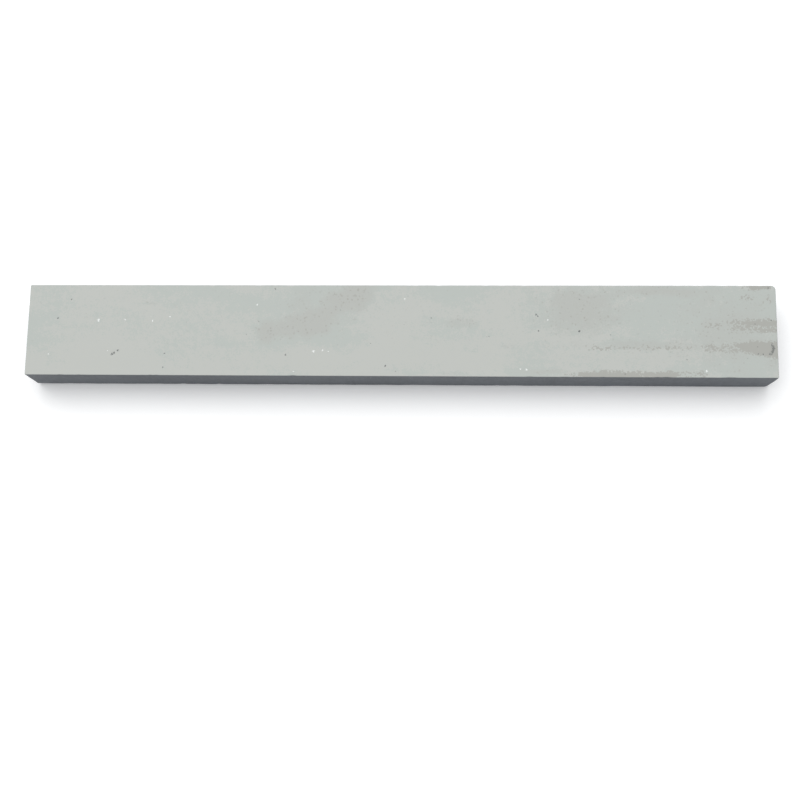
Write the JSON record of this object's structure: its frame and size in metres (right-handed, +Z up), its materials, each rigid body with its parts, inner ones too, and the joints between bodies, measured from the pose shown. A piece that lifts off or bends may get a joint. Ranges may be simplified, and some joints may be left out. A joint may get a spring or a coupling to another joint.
{
  "type": "sharpening whetstone",
  "caption": "Long narrow sharpening stone: a rectangular bar of fine pale grey rock with a flat honing face, darker sawn sides and eased lower edges.",
  "frame": {"origin": "centre of the resting face, the face that the stone lies on", "axes": "+X along the stone to the user's right, +Y away from the user across its width, +Z up out of the honing face"},
  "size_m": [0.2032, 0.0254, 0.0127],
  "materials": {
    "natural_stone": "lapped matt on the honing face, sawn and darker on the sides, ends and resting face"
  },
  "bodies": {
    "root": {"stone_bar": "natural_stone"}
  },
  "joints": []
}
